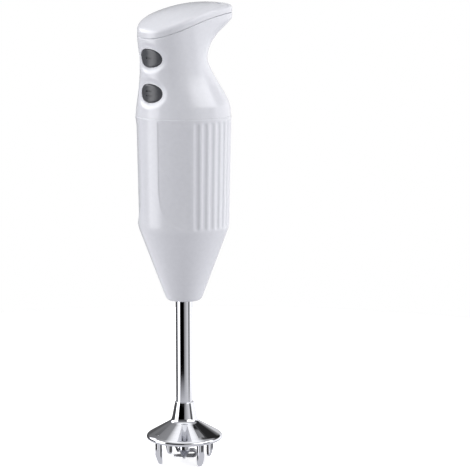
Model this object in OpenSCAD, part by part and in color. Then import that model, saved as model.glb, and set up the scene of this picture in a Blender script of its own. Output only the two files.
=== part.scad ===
// Immersion blender with a horn-shaped head, a fluted motor housing,
// a steel shaft tube, a four-footed splash guard and a pull-off cross blade.
// Millimetres. Z is up, the shaft axis is X = Y = 0, the floor is Z = 0,
// the two buttons face -Y and the horn with the cord inlet points to +Y.

/* [Guard] */
// Height of the guard's rim above the floor, which is the length of the feet
foot_len = 17.2; // [14:0.1:22]
// Radius of the guard's rim
guard_r = 28.3; // [27:0.1:34]
// Height of the guard from the rim to the top of its sleeve
guard_h = 28.1; // [27:0.1:36]
// Wall of the guard's cone
guard_wall = 1.5; // [1:0.1:2.2]
// Radius on which the feet stand
foot_r = 22.4; // [21:0.1:24]
// Width of a foot across its face
foot_w = 5; // [4:0.1:6]
// Radial thickness of a foot at its root
foot_t = 4; // [3:0.1:4.5]
// Turn of the four feet about the shaft axis, in degrees
foot_turn = -10; // [-45:1:45]

/* [Shaft tube] */
// Length of tube that shows between the guard and the motor housing
tube_show = 77; // [60:1:110]
// Outer radius of the tube
tube_r = 6.2; // [6:0.05:7.5]
// Wall of the tube
tube_wall = 0.9; // [0.6:0.05:1.2]
// Radius of the motor shaft and of the drive shaft
shaft_r = 2.5; // [2:0.05:3]

/* [Motor housing] */
// Radius of the housing at the seam with the grip
housing_r = 34.8; // [34:0.1:42]
// Radius of the housing at the foot of its fluted barrel
barrel_foot_r = 33.2; // [32.6:0.1:40]
// Length of the fluted barrel
barrel_len = 80.9; // [80:0.1:100]
// Length of the cone below the barrel
cone_len = 52; // [50:0.5:65]
// Radius of the cone's lower end
cone_foot_r = 13.6; // [13:0.1:15]
// Wall of the motor housing
housing_wall = 2.5; // [1.8:0.1:3]
// Number of flutes round the back of the barrel
flutes = 24; // [12:1:24]
// Depth of a flute
flute_depth = 0.8; // [0.4:0.1:1]

/* [Grip and head] */
// Height of the grip from its lower seam to the cover, on the shaft axis
grip_h = 69.8; // [66:0.1:84]
// Half width of the neck
neck_half_w = 24.4; // [22:0.1:30]
// Reach of the neck in front of the axis
neck_front = 33.4; // [33:0.1:36]
// Reach of the neck behind the axis
neck_back = 14.5; // [14:0.1:18]
// Half width of the head
head_half_w = 25; // [24:0.1:30]
// Reach of the head in front of the axis
head_front = 35.2; // [34:0.1:40]
// Reach of the horn behind the axis
horn_reach = 41; // [40:0.1:50]
// Wall of the grip housing and of the cover
grip_wall = 2.2; // [1.8:0.1:2.6]
// Radius of the arc that the cover seam follows
seam_arc_r = 160; // [140:1:200]
// Distance of the seam arc's highest point behind the axis
seam_arc_y = 37; // [34:1:40]
// Height of the cover above its seam
cover_h = 9.5; // [9:0.1:12]

/* [Buttons] */
// Width of a button
button_w = 22; // [18:0.5:23]
// Height of a button
button_h = 12.8; // [12:0.2:15]
// Distance between the two buttons
button_pitch = 25.2; // [24:0.1:27]
// Height of the lower button above the lower seam of the grip
button_low = 18.1; // [17:0.1:20]
// Travel of a button
button_travel = 1.5; // [1:0.1:2]
// Depth of the smooth dish round a button
dish_depth = 1.7; // [0.6:0.1:2]

/* [Motor] */
// Radius of the stator
stator_r = 27; // [26:0.1:28]
// Length of the stator's stack of sheets
stack_len = 32; // [28:0.5:34]
// Radius of the armature
armature_r = 13.9; // [13:0.1:14.2]
// Gap between armature and stator
air_gap = 0.6; // [0.4:0.1:1]
// Radius of the commutator
commutator_r = 9; // [8:0.1:9.5]

/* [Tool] */
// Outer radius of the tool's hub
hub_r = 4.2; // [3.9:0.1:4.4]
// Thickness of the blade's sheet
blade_t = 1.2; // [0.8:0.1:1.5]
// Radius of the blade
blade_r = 17; // [14:0.5:18]

/* [Hidden] */
$fn = 64;

// clearances
run_gap = 0.05;     // a shaft or plunger that runs in its bore
slip_gap = 0.1;     // parts that slide past each other by hand
free_gap = 0.4;     // a moving part in an opening
seam_gap = 0.15;    // the fine gap under the cover

// colours
WHITE = "#eef0f4";
STEEL = "#c9ccd1";
GREY = "#55575c";
BRASS = "#c9a24b";
COPPER = "#b5673a";
BLACK = "#26272a";
IRON = "#8a8d92";
BOARD = "#7a8a3a";

// heights, from the floor up
sleeve_top = foot_len + guard_h;
nose_z = sleeve_top + tube_show;
nose_round = 3.2;
cone_z = nose_z + nose_round;
break_z = cone_z + cone_len;
seam_z = break_z + barrel_len;
head_z = seam_z + grip_h;

// cone of the motor housing
cone_slope = (barrel_foot_r - cone_foot_r) / cone_len;
cone_wall = housing_wall * sqrt(1 + cone_slope * cone_slope);
function cone_inner(z) = cone_foot_r + (z - cone_z) * cone_slope - cone_wall;
function barrel_inner(z) = barrel_foot_r - housing_wall
    + (z - break_z) * (housing_r - barrel_foot_r) / barrel_len;

// motor, from the lower bracket up
pad_t = 4;
pad_r = 13.3;
pad_z = break_z - 35.5;
plate_z = break_z - 4.5;
plate_t = 3;
bearing_r = 6;
bearing_h = 6;
skirt_t = 2.5;
skirt_r = stator_r + 0.5;
stack_z = break_z + 12.5;
stack_top = stack_z + stack_len;
end_turn = 7;
bore_r = armature_r + air_gap;
turn_r = armature_r - 2.4;
commutator_z = stack_top + end_turn + 2;
commutator_len = 12;
brush_z = commutator_z + commutator_len / 2;
bridge_z = commutator_z + commutator_len + 4;
bridge_t = 3;
hub_top = bridge_z + bridge_t + bearing_h;
coupling_r = 5;
coupling_len = 14;
coupling_z = pad_z + 5;
shaft_joint = coupling_z + coupling_len / 2;
screw_y = stator_r - 4.5;

// smooth section-by-section shape of the grip and head
function mix(a, b, w) = a + (b - a) * w;
function clamp01(v) = min(max(v, 0), 1);
function smooth(v) = let (c = clamp01(v)) c * c * (3 - 2 * c);
// share of the height, half width, front reach, back reach, centre, front and back squareness
GRIP = [
    [0.000, housing_r, housing_r, housing_r, 0, 2, 2],
    [0.109, mix(housing_r, neck_half_w, 0.07), mix(housing_r, neck_front, 0.6),
        mix(housing_r, neck_back, 0.035), -0.3, 2, 2],
    [0.223, mix(housing_r, neck_half_w, 0.34), neck_front, mix(housing_r, neck_back, 0.195),
        -2.5, 2, 2],
    [0.352, mix(housing_r, neck_half_w, 0.65), neck_front, mix(housing_r, neck_back, 0.5),
        -5, 2, 2],
    [0.481, mix(housing_r, neck_half_w, 0.86), neck_front, mix(housing_r, neck_back, 0.82),
        -7, 2, 2],
    [0.596, mix(housing_r, neck_half_w, 0.96), neck_front, neck_back, -8, 2.05, 2],
    [0.711, neck_half_w, mix(neck_front, head_front, 0.28), mix(neck_back, horn_reach, 0.13),
        -8, 2.05, 2.05],
    [0.811, mix(neck_half_w, head_half_w, 0.1), mix(neck_front, head_front, 0.67),
        mix(neck_back, horn_reach, 0.45), -8, 2.1, 2.15],
    [0.897, mix(neck_half_w, head_half_w, 0.4), mix(neck_front, head_front, 0.9),
        mix(neck_back, horn_reach, 0.85), -8, 2.15, 2.3],
    [0.954, mix(neck_half_w, head_half_w, 0.85), head_front, horn_reach, -8, 2.2, 2.4],
    [1.000, head_half_w, head_front, horn_reach, -8, 2.2, 2.4]
];
GRIP_CENTRE = GRIP[len(GRIP) - 1][4];
function slope_after(i, c) = (GRIP[i + 1][c] - GRIP[i][c]) / (GRIP[i + 1][0] - GRIP[i][0]);
function knot_slope(i, c) =
    i == 0 ? slope_after(0, c)
    : i == len(GRIP) - 1 ? slope_after(i - 1, c)
    : let (a = slope_after(i - 1, c), b = slope_after(i, c)) a * b <= 0 ? 0 : 2 * a * b / (a + b);
function span_of(s, i = 0) = (i >= len(GRIP) - 2 || s < GRIP[i + 1][0]) ? i : span_of(s, i + 1);
function section_value(s, c) =
    let (i = span_of(s), w = GRIP[i + 1][0] - GRIP[i][0], u = (s - GRIP[i][0]) / w)
    let (u2 = u * u, u3 = u2 * u)
    (2 * u3 - 3 * u2 + 1) * GRIP[i][c] + (u3 - 2 * u2 + u) * w * knot_slope(i, c)
    + (3 * u2 - 2 * u3) * GRIP[i + 1][c] + (u3 - u2) * w * knot_slope(i + 1, c);
// height of the cover seam above its height on the axis
function seam_rise(y) = sqrt(pow(seam_arc_r, 2) - pow(y - seam_arc_y, 2))
    - sqrt(pow(seam_arc_r, 2) - pow(seam_arc_y, 2));
tilt_start = 0.195;
function tilt(s) = smooth((s - tilt_start) / (1 - tilt_start));

// dish round each button
dish_half_w = button_w / 2 + 4.5;
dish_half_h = button_pitch / 2 - 0.6;
dish_edge = 0.32;
function button_z(i) = seam_z + button_low + (i == 1 ? button_pitch : 0);
function dish_at(x, z, zc) = dish_depth
    * smooth((1 - sqrt(pow(x / dish_half_w, 2) + pow((z - zc) / dish_half_h, 2))) / dish_edge);
function dish(x, z) = max(dish_at(x, z, button_z(1)), dish_at(x, z, button_z(2)));

// points round one section; they sit closer together at the front
ring_points = 48;
crowd = 0.3;
ring_angles = [for (i = [0:ring_points - 1])
    let (t = 360 * i / ring_points) t - crowd * cos(t) * 180 / PI];
function power(v, e) = sign(v) * pow(abs(v), e);
function outline(s, angle, inset) =
    let (c = cos(angle), d = sin(angle), back = d > 0, yc = section_value(s, 4))
    let (e = 2 / section_value(s, back ? 6 : 5))
    let (reach = back ? section_value(s, 3) - yc : section_value(s, 2) + yc)
    [(section_value(s, 1) - inset) * power(c, e), yc + (reach - inset) * power(d, e)];
function grip_point(s, angle, inset) =
    let (p = outline(s, angle, inset), z = seam_z + s * grip_h + tilt(s) * seam_rise(p[1]))
    [p[0], p[1] + (p[1] < GRIP_CENTRE ? dish(p[0], z) : 0), z];
function grip_ring(s, inset) = [for (a = ring_angles) grip_point(s, a, inset)];
grip_rings = 24;
GRIP_STEPS = [for (i = [0:grip_rings - 1]) i / (grip_rings - 1)];

// cover: height above the seam and inset, from the seam to the crown
cover_inset = 24.9;
COVER = [[seam_gap, 0], [3.5, 0], [5, 0.4], [6.2, 1.2], [7, 2.4], [7.6, 4], [8.1, 6.5],
    [8.6, 10], [9, 14], [9.3, 18], [9.5, 22]];
cover_full = COVER[len(COVER) - 1][0];
function cover_point(h, inset, angle) =
    let (k = 1 - inset / cover_inset, p = outline(1, angle, 0))
    let (y = GRIP_CENTRE + (p[1] - GRIP_CENTRE) * k)
    [p[0] * k, y, head_z + seam_rise(y) + h];
function cover_ring(h, inset) = [for (a = ring_angles) cover_point(h, inset, a)];
function cover_height(h) = h * cover_h / cover_full;

// skins through a list of rings
function band_faces(rings, n, closed) = [for (r = [0:rings - (closed ? 1 : 2)], i = [0:n - 1])
    let (a = r * n + i, b = r * n + (i + 1) % n)
    let (c = ((r + 1) % rings) * n + (i + 1) % n, d = ((r + 1) % rings) * n + i)
    each [[a, c, b], [a, d, c]]];
function joined(list) = [for (l = list, p = l) p];
module loop_skin(rings) {
    polyhedron(joined(rings), band_faces(len(rings), len(rings[0]), true));
}
module end_skin(rings, first, last) {
    n = len(rings[0]);
    m = len(rings) * n;
    polyhedron(concat(joined(rings), [first, last]), concat(
        band_faces(len(rings), n, false),
        [for (i = [0:n - 1]) [i, (i + 1) % n, m]],
        [for (i = [0:n - 1]) [m - n + (i + 1) % n, m - n + i, m + 1]]));
}

// cover screws, their bosses and posts
cover_screw_x = head_half_w - 12.7;
cover_screw_y = horn_reach - 18.5;
boss_r = 4.2;
boss_z = head_z + seam_rise(cover_screw_y) - 0.8;
screw_head_r = 2.6;
screw_head_h = 2.2;
screw_seat = boss_z + 3.4;
screw_r = 1.5;
screw_len = 10;
post_len = 8.6;
module at_cover_screws(z) {
    for (side = [-1, 1]) translate([side * cover_screw_x, cover_screw_y, z]) children();
}

// cord inlet in the end of the horn
inlet_z = head_z + seam_rise(horn_reach) + 0.8;
inlet_r = 2.9;
bushing_r = 3.7;
bushing_lip_r = 4.3;
lip_t = 1.3;
groove_y = horn_reach - grip_wall;
groove_t = 1.7;
module along_y(r, y0, y1, z, x = 0) {
    translate([x, y0, z]) rotate([-90, 0, 0]) cylinder(r = r, h = y1 - y0);
}
module inlet_cut() {
    along_y(bushing_r, groove_y - 3, horn_reach + 2, inlet_z);
    along_y(bushing_lip_r, groove_y - groove_t, groove_y, inlet_z);
}

// button outline, a rounded oval
function oval(w, h, n = 48) = [for (i = [0:n - 1])
    let (a = 360 * i / n) [w / 2 * power(cos(a), 2 / 2.2), h / 2 * power(sin(a), 2 / 2.2)]];
module facing_front(y0, y1, z) {
    translate([0, y1, z]) rotate([90, 0, 0]) linear_extrude(y1 - y0) children();
}
button_face = neck_front - 0.2;
button_curve = 22;
button_flange_y = -(neck_front - 7.6);
button_back_y = button_flange_y + 1.2;
plunger_r = 1.3;
plunger_tip = button_back_y + 1.7;
plunger_end = plunger_tip + 5;

// switches, their carrier and the circuit board
switch_y = plunger_tip + 2.5;
switch_d = 10;
switch_w = 20;
switch_h = 6.4;
board_t = 1.6;
board_y = switch_y + switch_d + 4;
board_back = board_y + board_t;
board_w = 30;
board_z = button_z(2) - 10;
board_top = button_z(1) + 11;
carrier_wall = 2;
carrier_margin = 5.4;
rib_t = 3;
RIB_HEIGHTS = [0.215, 0.66];

// ---------------------------------------------------------------- casings

module top_cover() {
    inner = [for (i = [len(COVER) - 1:-1:0]) let (h = cover_height(COVER[i][0]) - grip_wall)
        cover_ring(max(h, seam_gap), min(COVER[i][1] + grip_wall, cover_inset - 0.4))];
    outer = [for (c = COVER) cover_ring(cover_height(c[0]), c[1])];
    crown = head_z + seam_rise(GRIP_CENTRE) + cover_h;
    color(WHITE) difference() {
        union() {
            end_skin(concat(inner, outer), [0, GRIP_CENTRE, crown - grip_wall],
                [0, GRIP_CENTRE, crown]);
            at_cover_screws(boss_z) cylinder(r = boss_r, h = cover_h - 2.2);
        }
        at_cover_screws(boss_z - 1) cylinder(r = screw_r + slip_gap, h = 6);
        at_cover_screws(screw_seat) cylinder(r = screw_head_r + slip_gap, h = 10);
        inlet_cut();
    }
}

module cover_screws() {
    color(STEEL) at_cover_screws(screw_seat) {
        difference() {
            cylinder(r = screw_head_r, h = screw_head_h);
            for (turn = [0, 90]) rotate([0, 0, turn])
                translate([-1.8, -0.35, screw_head_h - 1.2]) cube([3.6, 0.7, 2]);
        }
        translate([0, 0, -screw_len]) cylinder(r = screw_r, h = screw_len);
    }
}

module board_ribs() {
    for (side = [0, 1], s = RIB_HEIGHTS) mirror([side, 0, 0])
        translate([board_w / 2 - 2.5, board_back, seam_z + s * grip_h])
            cube([section_value(s, 1) - grip_wall * 0.6 - board_w / 2 + 2.5, rib_t, rib_t]);
}

module grip_housing() {
    outer = [for (s = GRIP_STEPS) grip_ring(s, 0)];
    inner = [for (i = [grip_rings - 1:-1:0]) grip_ring(GRIP_STEPS[i], grip_wall)];
    color(WHITE) difference() {
        union() {
            loop_skin(concat(outer, inner));
            board_ribs();
            at_cover_screws(boss_z - post_len) cylinder(r = boss_r, h = post_len);
        }
        for (i = [1, 2]) facing_front(-neck_front - 3, button_flange_y + 1, button_z(i))
            polygon(oval(button_w + 2 * free_gap, button_h + 2 * free_gap));
        at_cover_screws(screw_seat - screw_len) cylinder(r = screw_r, h = screw_len);
        inlet_cut();
    }
}

collar_r = housing_r - 3.4;
collar_h = 3.6;
collar_wall = 1.5;
nose_seal_r = tube_r + 2.1;
module flute_cut(angle) {
    cut_r = 1.6;
    lean = atan((housing_r - barrel_foot_r) / barrel_len);
    rotate([0, 0, angle]) translate([barrel_foot_r + cut_r - flute_depth, 0, break_z + 1])
        rotate([0, lean, 0]) union() {
            sphere(r = cut_r);
            cylinder(r = cut_r, h = barrel_len - 5);
        }
}
flute_span = 241;
module motor_housing() {
    floor_z = nose_z + 3.7;
    color(WHITE) difference() {
        rotate_extrude($fn = 120) polygon([
            [nose_seal_r, nose_z], [cone_foot_r - 3.1, nose_z], [cone_foot_r - 1, nose_z + 1.4],
            [cone_foot_r, cone_z], [barrel_foot_r, break_z], [housing_r, seam_z],
            [collar_r, seam_z], [collar_r, seam_z + collar_h],
            [collar_r - collar_wall, seam_z + collar_h], [collar_r - collar_wall, seam_z - 2.4],
            [barrel_inner(seam_z - 5), seam_z - 5], [barrel_inner(break_z), break_z],
            [cone_inner(floor_z), floor_z], [nose_seal_r, floor_z]]);
        for (i = [0:flutes - 1])
            flute_cut(90 - flute_span / 2 + (i + 0.5) * flute_span / flutes);
    }
}

// ---------------------------------------------------------------- buttons and electrics

module speed_button(i) {
    color(GREY) {
        intersection() {
            facing_front(-button_face - 1, button_flange_y + 0.2, button_z(i))
                polygon(oval(button_w, button_h));
            translate([0, button_curve - button_face, button_z(i) - button_h])
                cylinder(r = button_curve, h = 2 * button_h, $fn = 96);
        }
        facing_front(button_flange_y, button_back_y, button_z(i))
            polygon(oval(button_w + 2, button_h + 2));
        along_y(2, button_back_y - 0.2, plunger_tip - slip_gap, button_z(i));
    }
}

module switch_plunger(i) {
    color(BLACK) along_y(plunger_r, plunger_tip, plunger_end, button_z(i));
}

module microswitch(i) {
    color(BLACK) difference() {
        translate([-switch_w / 2, switch_y, button_z(i) - switch_h / 2])
            cube([switch_w, switch_d, switch_h]);
        along_y(plunger_r + run_gap, switch_y - 1, plunger_end + button_travel + 1, button_z(i));
    }
    color(BRASS) for (x = [-7, 0, 7])
        translate([x - 0.3, switch_y + switch_d - 0.2, button_z(i) - 1.5])
            cube([0.6, board_y - switch_y - switch_d + 0.2, 3]);
}

module switch_carrier() {
    z0 = button_z(2) - switch_h / 2 - carrier_margin / 2;
    z1 = button_z(1) + switch_h / 2 + carrier_margin / 2;
    half = switch_w / 2 + slip_gap;
    color(IRON) difference() {
        translate([-half - carrier_wall, switch_y + 1, z0])
            cube([2 * (half + carrier_wall), board_y - switch_y - 1, z1 - z0]);
        for (i = [1, 2]) translate([-half, switch_y, button_z(i) - switch_h / 2 - slip_gap])
            cube([2 * half, board_y - switch_y + 1, switch_h + 2 * slip_gap]);
    }
}

module circuit_board() {
    color(BOARD) translate([-board_w / 2, board_y, board_z])
        cube([board_w, board_t, board_top - board_z]);
}

block_z = button_z(1) - 4;
module terminal_block() {
    color(WHITE) difference() {
        translate([-9, board_back, block_z]) cube([18, 9, 12]);
        for (x = [-4.5, 4.5]) translate([x, board_back + 4.5, block_z + 3])
            cylinder(r = 1.8, h = 12);
    }
}

module suppression_capacitor() {
    color("#d8b23a") translate([-9, board_back, button_z(2) + 3]) cube([18, 8, 13]);
}

module speed_diode() {
    color(BLACK) translate([12.2, board_back + 1.6, button_z(2) + 5]) cylinder(r = 1.4, h = 7);
    color(STEEL) for (z = [3, 12])
        along_y(0.4, board_back, board_back + 1.6, button_z(2) + z + 0.5, 12.2);
    color(STEEL) translate([12.2, board_back + 1.6, button_z(2) + 3.1]) cylinder(r = 0.4, h = 9.8);
}

// a round wire through points in a plane across X, with mitred corners
wire_r = 0.8;
function heading(points, i) = let (d = points[i + 1] - points[i]) atan2(d[1], d[0]);
function wire_ring(points, i, x) =
    let (n = 8, last = len(points) - 1)
    let (a = heading(points, max(i - 1, 0)), b = heading(points, min(i, last - 1)))
    let (across = (a + b) / 2 + 90, stretch = 1 / cos((a - b) / 2))
    [for (j = [0:n - 1]) let (t = 360 * j / n, side = wire_r * stretch * cos(t))
        [x + wire_r * sin(t), points[i][0] + side * cos(across),
            points[i][1] + side * sin(across)]];
module lead_wires() {
    lead_x = 13;
    coil_y = 15.5;
    route = [[board_back, board_z + 3], [board_back + 2, board_z + 3],
        [board_back + 4, board_z + 1.5], [coil_y - 1.5, hub_top + 1.5],
        [coil_y, hub_top - 1.5], [coil_y, stack_top + end_turn]];
    rings = [for (i = [0:len(route) - 1]) wire_ring(route, i, lead_x)];
    first = concat([lead_x], route[0]);
    last = concat([lead_x], route[len(route) - 1]);
    color(COPPER) for (side = [0, 1]) mirror([side, 0, 0]) end_skin(rings, first, last);
}

// ---------------------------------------------------------------- cord entry

module cord_bushing() {
    color(GREY) difference() {
        union() {
            along_y(bushing_r, groove_y - groove_t, horn_reach + lip_t, inlet_z);
            along_y(bushing_lip_r, groove_y - groove_t, groove_y, inlet_z);
            along_y(bushing_lip_r, horn_reach + 0.05, horn_reach + lip_t, inlet_z);
        }
        along_y(inlet_r, groove_y - groove_t - 1, horn_reach + lip_t + 1, inlet_z);
    }
}

clamp_w = 2 * (cover_screw_x - boss_r) - 2 * slip_gap;
clamp_d = 5;
clamp_y = cover_screw_y - clamp_d / 2;
clamp_z = boss_z - 1;
clamp_gap = 0.6;
clamp_screw_x = 5.9;
clamp_screw_r = 1.1;
module at_clamp_screws(z) {
    for (side = [-1, 1]) translate([side * clamp_screw_x, cover_screw_y, z]) children();
}
module clamp_saddle() {
    color(WHITE) difference() {
        translate([-clamp_w / 2, clamp_y, clamp_z - 5]) cube([clamp_w, clamp_d, 5]);
        along_y(inlet_r, clamp_y - 1, clamp_y + clamp_d + 1, clamp_z + clamp_gap / 2);
        at_clamp_screws(clamp_z - 4) cylinder(r = clamp_screw_r, h = 5);
    }
}
module clamp_bar() {
    color(WHITE) difference() {
        translate([-clamp_w / 2, clamp_y, clamp_z + clamp_gap]) cube([clamp_w, clamp_d, 4]);
        along_y(inlet_r, clamp_y - 1, clamp_y + clamp_d + 1, clamp_z + clamp_gap / 2);
        at_clamp_screws(clamp_z) cylinder(r = clamp_screw_r + slip_gap, h = 6);
    }
}
module clamp_screws() {
    color(STEEL) at_clamp_screws(clamp_z + clamp_gap + 4) {
        cylinder(r = 1.9, h = 1.2);
        translate([0, 0, -8]) cylinder(r = clamp_screw_r, h = 8);
    }
}

// ---------------------------------------------------------------- motor

coil_x0 = 10;
coil_x1 = 16;
coil_y0 = 12.5;
coil_y1 = 18.5;
module stator_core() {
    color(IRON) difference() {
        translate([0, 0, stack_z]) cylinder(r = stator_r, h = stack_len, $fn = 96);
        translate([0, 0, stack_z - 1]) cylinder(r = bore_r, h = stack_len + 2, $fn = 96);
        for (x = [0, 1], y = [0, 1]) mirror([x, 0, 0]) mirror([0, y, 0])
            translate([coil_x0, coil_y0, stack_z - 1])
                cube([coil_x1 - coil_x0, coil_y1 - coil_y0, stack_len + 2]);
        for (side = [-1, 1]) translate([0, side * screw_y, stack_z - 1])
            cylinder(r = 2 + slip_gap, h = stack_len + 2);
    }
}

module field_coils() {
    slack = 0.2;
    color(COPPER) for (y = [0, 1]) mirror([0, y, 0]) difference() {
        translate([-coil_x1 + slack, coil_y0 + slack, stack_z - end_turn])
            cube([2 * (coil_x1 - slack), coil_y1 - coil_y0 - 2 * slack,
                stack_len + 2 * end_turn]);
        translate([-coil_x0 - slack, 0, stack_z - slack])
            cube([2 * (coil_x0 + slack), 2 * coil_y1, stack_len + 2 * slack]);
    }
}

slots = 12;
slot_w = 2.6;
slot_in = 7.5;
module armature_core() {
    color(IRON) difference() {
        translate([0, 0, stack_z]) cylinder(r = armature_r, h = stack_len, $fn = 96);
        translate([0, 0, stack_z - 1]) cylinder(r = shaft_r, h = stack_len + 2);
        for (i = [0:slots - 1]) rotate([0, 0, i * 360 / slots])
            translate([slot_in, -slot_w / 2, stack_z - 1])
                cube([turn_r + 0.9 - slot_in, slot_w, stack_len + 2]);
    }
}

module armature_windings() {
    color(COPPER) {
        for (z = [stack_z - end_turn, stack_top + slip_gap]) difference() {
            translate([0, 0, z]) cylinder(r = turn_r, h = end_turn - slip_gap);
            translate([0, 0, z - 1]) cylinder(r = shaft_r + 1.5, h = end_turn + 2);
        }
        for (i = [0:slots - 1]) rotate([0, 0, i * 360 / slots])
            translate([slot_in + slip_gap, slip_gap - slot_w / 2, stack_z - 1])
                cube([turn_r - slot_in - 2 * slip_gap, slot_w - 2 * slip_gap, stack_len + 2]);
    }
}

module commutator() {
    bars = 12;
    color(COPPER) difference() {
        translate([0, 0, commutator_z]) cylinder(r = commutator_r, h = commutator_len);
        translate([0, 0, commutator_z - 1]) cylinder(r = shaft_r, h = commutator_len + 2);
        for (i = [0:bars - 1]) rotate([0, 0, i * 360 / bars])
            translate([commutator_r - 0.8, -0.2, commutator_z - 1])
                cube([2, 0.4, commutator_len + 2]);
    }
}

module motor_shaft() {
    color(STEEL) translate([0, 0, shaft_joint + slip_gap])
        cylinder(r = shaft_r, h = hub_top + 1 - shaft_joint - slip_gap);
}

module thrust_washers() {
    gap = 0.3;
    color(STEEL) for (z = [plate_z + plate_t + gap, bridge_z - 1 - gap - 0.2]) difference() {
        translate([0, 0, z]) cylinder(r = shaft_r + 1.6, h = 0.8);
        translate([0, 0, z - 1]) cylinder(r = shaft_r, h = 3);
    }
}

module bearing(z) {
    color(BRASS) difference() {
        translate([0, 0, z]) cylinder(r = bearing_r, h = bearing_h);
        translate([0, 0, z - 1]) cylinder(r = shaft_r + run_gap, h = bearing_h + 2);
    }
}
module upper_bearing() { bearing(bridge_z + bridge_t); }
module lower_bearing() { bearing(plate_z + plate_t - bearing_h); }

brush_w = 6;
brush_t = 5;
holder_wall = 0.9;
module at_bracket_screws(z) {
    for (side = [-1, 1]) translate([0, side * screw_y, z]) children();
}
module upper_bracket() {
    color(IRON) difference() {
        union() {
            translate([0, 0, stack_top])
                cylinder(r = skirt_r, h = bridge_z + bridge_t - stack_top, $fn = 96);
            translate([0, 0, bridge_z]) cylinder(r = bearing_r + 2, h = hub_top - bridge_z);
        }
        difference() {
            translate([0, 0, stack_top - 1])
                cylinder(r = skirt_r - skirt_t, h = bridge_z + bridge_t - stack_top + 2, $fn = 96);
            translate([-9, -skirt_r, bridge_z]) cube([18, 2 * skirt_r, 20]);
        }
        translate([0, 0, bridge_z + bridge_t]) cylinder(r = bearing_r, h = bearing_h + 1);
        translate([0, 0, bridge_z - 1]) cylinder(r = shaft_r + 1, h = 10);
        at_bracket_screws(bridge_z - 1) cylinder(r = 2 + slip_gap, h = 10);
        translate([-skirt_r - 1, -brush_w / 2 - holder_wall, brush_z - brush_t / 2 - holder_wall])
            cube([2 * skirt_r + 2, brush_w + 2 * holder_wall, brush_t + 2 * holder_wall]);
    }
}

flange_screw_r = 1.2;
flange_screw_pcd = 19.6;
module at_flange_screws(z) {
    for (i = [0:2]) rotate([0, 0, 90 + i * 120]) translate([flange_screw_pcd / 2, 0, z]) children();
}
module lower_bracket() {
    color(IRON) difference() {
        union() {
            translate([0, 0, plate_z]) cylinder(r = skirt_r, h = stack_z - plate_z, $fn = 96);
            translate([0, 0, pad_z]) cylinder(r = bearing_r + 2, h = plate_z - pad_z);
            translate([0, 0, pad_z]) cylinder(r = pad_r, h = pad_t);
        }
        translate([0, 0, plate_z + plate_t])
            cylinder(r = skirt_r - skirt_t, h = stack_z - plate_z, $fn = 96);
        translate([0, 0, plate_z + plate_t - bearing_h]) cylinder(r = bearing_r, h = 20);
        translate([0, 0, pad_z - 1]) cylinder(r = shaft_r + 1, h = 40);
        translate([0, 0, pad_z - 1])
            cylinder(r = coupling_r + 0.8, h = coupling_z - pad_z + coupling_len + 3);
        at_bracket_screws(plate_z - 1) cylinder(r = 2, h = plate_t + 2);
        at_flange_screws(pad_z - 1) cylinder(r = flange_screw_r, h = pad_t + 2);
    }
}

module motor_screws() {
    color(STEEL) at_bracket_screws(plate_z) {
        cylinder(r = 2, h = bridge_z + bridge_t - plate_z);
        translate([0, 0, bridge_z + bridge_t - plate_z]) cylinder(r = 3.4, h = 2.2);
    }
}

holder_in = commutator_r + 2.5;
holder_out = skirt_r + 0.3;
brush_tip = commutator_r + slip_gap;
brush_end = brush_tip + 11;
module brush_holder() {
    color(BRASS) difference() {
        translate([holder_in, -brush_w / 2 - holder_wall, brush_z - brush_t / 2 - holder_wall])
            cube([holder_out - holder_in, brush_w + 2 * holder_wall,
                brush_t + 2 * holder_wall]);
        translate([0, -brush_w / 2 - slip_gap, brush_z - brush_t / 2 - slip_gap])
            cube([holder_out - 0.8, brush_w + 2 * slip_gap, brush_t + 2 * slip_gap]);
    }
}
module carbon_brush() {
    color(BLACK) translate([brush_tip, -brush_w / 2, brush_z - brush_t / 2])
        cube([brush_end - brush_tip, brush_w, brush_t]);
}
// an open coil spring along X, as a round wire swept along a helix
spring_r = 1.9;
spring_wire = 0.3;
spring_turns = 5;
module brush_spring() {
    n = 6;
    steps = spring_turns * 12;
    x0 = brush_end + spring_wire + run_gap;
    run = holder_out - 0.8 - 2 * spring_wire - 2 * run_gap - brush_end;
    rings = [for (k = [0:steps]) let (a = 360 * spring_turns * k / steps)
        [for (j = [0:n - 1]) let (b = 360 * j / n, r = spring_r + spring_wire * cos(b))
            [x0 + run * k / steps + spring_wire * sin(b), r * cos(a), brush_z + r * sin(a)]]];
    ends = [[x0, spring_r, brush_z], [x0 + run, spring_r, brush_z]];
    color(STEEL) end_skin(rings, ends[0], ends[1]);
}
module brush_holder_left() { mirror([1, 0, 0]) brush_holder(); }
module brush_holder_right() { brush_holder(); }
module carbon_brush_left() { mirror([1, 0, 0]) carbon_brush(); }
module carbon_brush_right() { carbon_brush(); }
module brush_spring_left() { mirror([1, 0, 0]) brush_spring(); }
module brush_spring_right() { brush_spring(); }

module mount_ring(z, outer) {
    color(BLACK) difference() {
        translate([0, 0, z]) cylinder(r = outer, h = 6, $fn = 96);
        translate([0, 0, z - 1]) cylinder(r = skirt_r, h = 8, $fn = 96);
    }
}
upper_ring_z = bridge_z - 4;
lower_ring_z = break_z + 1;
module upper_mount_ring() { mount_ring(upper_ring_z, barrel_inner(upper_ring_z) - run_gap); }
module lower_mount_ring() { mount_ring(lower_ring_z, barrel_inner(lower_ring_z) - run_gap); }

// ---------------------------------------------------------------- shaft and tube

module shaft_coupling() {
    color(GREY) difference() {
        translate([0, 0, coupling_z]) cylinder(r = coupling_r, h = coupling_len);
        translate([0, 0, coupling_z - 1]) cylinder(r = shaft_r, h = coupling_len + 2);
    }
}

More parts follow.
